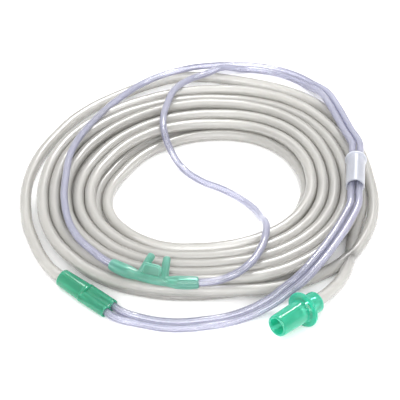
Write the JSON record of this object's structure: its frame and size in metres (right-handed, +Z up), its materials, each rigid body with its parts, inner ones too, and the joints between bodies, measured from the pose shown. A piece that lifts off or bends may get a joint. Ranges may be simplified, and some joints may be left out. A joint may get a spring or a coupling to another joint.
{
  "type": "nasal oxygen cannula",
  "caption": "Soft nose piece with short prongs, fed by thin tubes through a chin slider and a Y connector, with a long supply tube wound into a coil and a flanged inlet connector.",
  "frame": {"origin": "on the surface that the cannula lies on, below the middle of the four fittings (nose piece, chin slider, Y connector, inlet connector)", "axes": "+Z up from the surface; -Y is the way the inlet connector's mouth points; the coil lies in the XY plane"},
  "size_m": [0.2087, 0.2189, 0.0225],
  "materials": {
    "mint_vinyl": "soft, translucent",
    "green_vinyl": "clear green",
    "emerald_vinyl": "clear green",
    "milky_vinyl": "milky",
    "supply_vinyl": "clear, glossy",
    "thin_vinyl": "clear, glossy"
  },
  "bodies": {
    "cannula": {"nose_piece": "mint_vinyl", "y_connector": "green_vinyl", "inlet_connector": "emerald_vinyl", "supply_coil": "supply_vinyl", "supply_tube_y_end": "supply_vinyl", "supply_tube_inlet_end": "supply_vinyl", "left_cannula_tube": "thin_vinyl", "right_cannula_tube": "thin_vinyl"},
    "slider": {"chin_slider": "milky_vinyl"}
  },
  "joints": [
    {"name": "slider_travel", "type": "slide", "parent": "cannula", "child": "slider", "axis": [0.6266, -0.7793, 0], "range_m": [-0.005, 0.005]}
  ]
}
